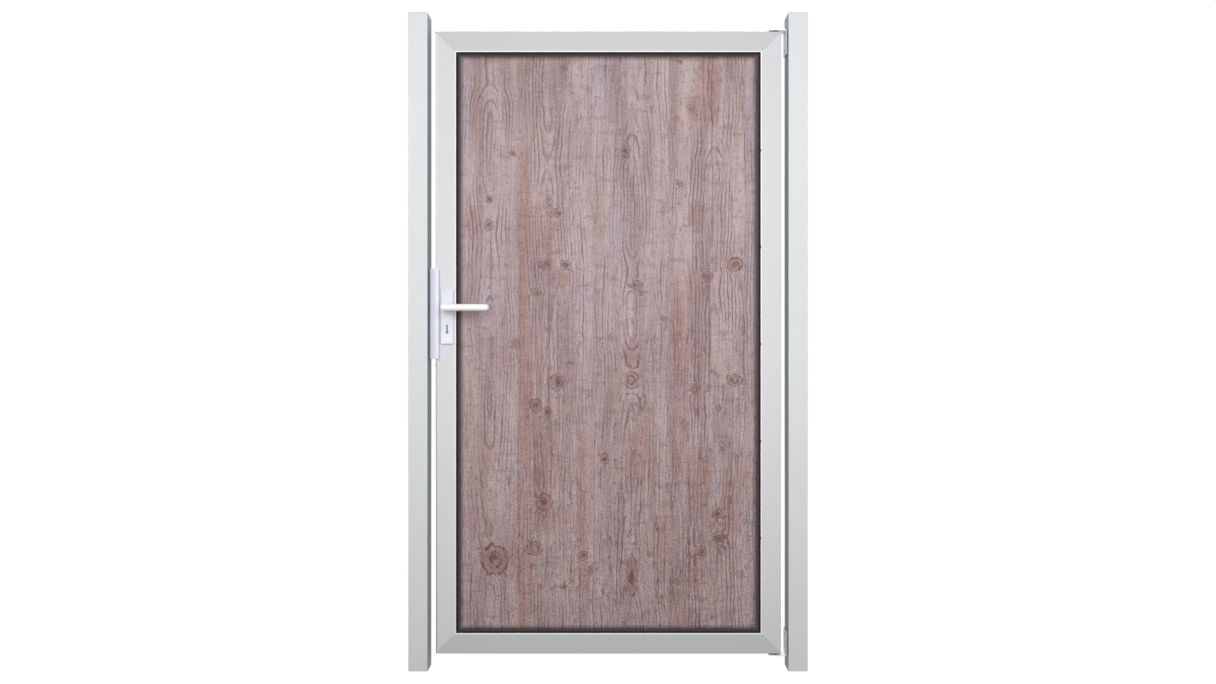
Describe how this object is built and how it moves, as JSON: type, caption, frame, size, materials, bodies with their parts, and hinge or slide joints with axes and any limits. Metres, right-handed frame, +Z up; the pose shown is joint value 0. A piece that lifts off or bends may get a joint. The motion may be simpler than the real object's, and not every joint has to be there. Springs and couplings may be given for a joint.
{
  "type": "privacy gate",
  "caption": "Single-leaf privacy gate between square posts, with a mitred aluminium frame, wood-decor panel, pivot hinges and a lever lock.",
  "frame": {"origin": "centre of the hinge post's flat foot, at ground level", "axes": "+Z up; -Y towards the person who pushes the gate open; +X from the lock side to the hinge side, along the gate"},
  "size_m": [1.149, 0.146, 1.895],
  "materials": {
    "post_coating": "satin powder coat on aluminium",
    "frame_coating": "satin powder coat on aluminium",
    "keep_coating": "satin powder coat on aluminium",
    "lock_coating": "satin powder coat on aluminium",
    "lever_coating": "satin powder coat on aluminium",
    "hinge_steel": "brushed stainless steel",
    "lock_steel": "brushed stainless steel",
    "pine_decor": "matt weathered pine decor",
    "gasket_rubber": "matt black rubber",
    "seal_rubber": "matt grey rubber",
    "bush_plastic": "matt black plastic",
    "cap_plastic": "matt light grey plastic"
  },
  "bodies": {
    "posts": {"hinge_post": "post_coating", "latch_post": "post_coating", "hinge_post_cap": "cap_plastic", "latch_post_cap": "cap_plastic", "upper_hinge_bracket": "hinge_steel", "lower_hinge_bracket": "hinge_steel", "upper_hinge_pin": "hinge_steel", "lower_hinge_pin": "hinge_steel", "hinge_screws": "hinge_steel", "keep_body": "keep_coating", "keep_top_cap": "keep_coating", "keep_bottom_cap": "keep_coating"},
    "leaf": {"lock_stile": "frame_coating", "hinge_stile": "frame_coating", "top_rail": "frame_coating", "bottom_rail": "frame_coating", "infill_panel": "pine_decor", "front_gasket": "gasket_rubber", "back_gasket": "gasket_rubber", "edge_seal": "seal_rubber", "upper_pivot_bush": "bush_plastic", "lower_pivot_bush": "bush_plastic", "front_lock_plate": "lock_coating", "back_lock_plate": "lock_coating", "lock_case": "lock_steel", "lock_faceplate": "lock_steel", "latch_bolt": "lock_steel", "dead_bolt": "lock_steel"},
    "lever": {"front_lever": "lever_coating", "back_lever": "lever_coating", "spindle": "lock_steel"}
  },
  "joints": [
    {"name": "gate_swing", "type": "hinge", "parent": "posts", "child": "leaf", "pos_m": [-0.0635, 0.008, 0], "axis": [0, 0, -1], "range_deg": [0, 110]},
    {"name": "lever_turn", "type": "hinge", "parent": "leaf", "child": "lever", "pos_m": [-1.0105, 0.008, 1.045], "axis": [0, 1, 0], "range_deg": [0, 40], "stiffness_Nm_per_rad": 2, "springref_deg": -14.32}
  ]
}
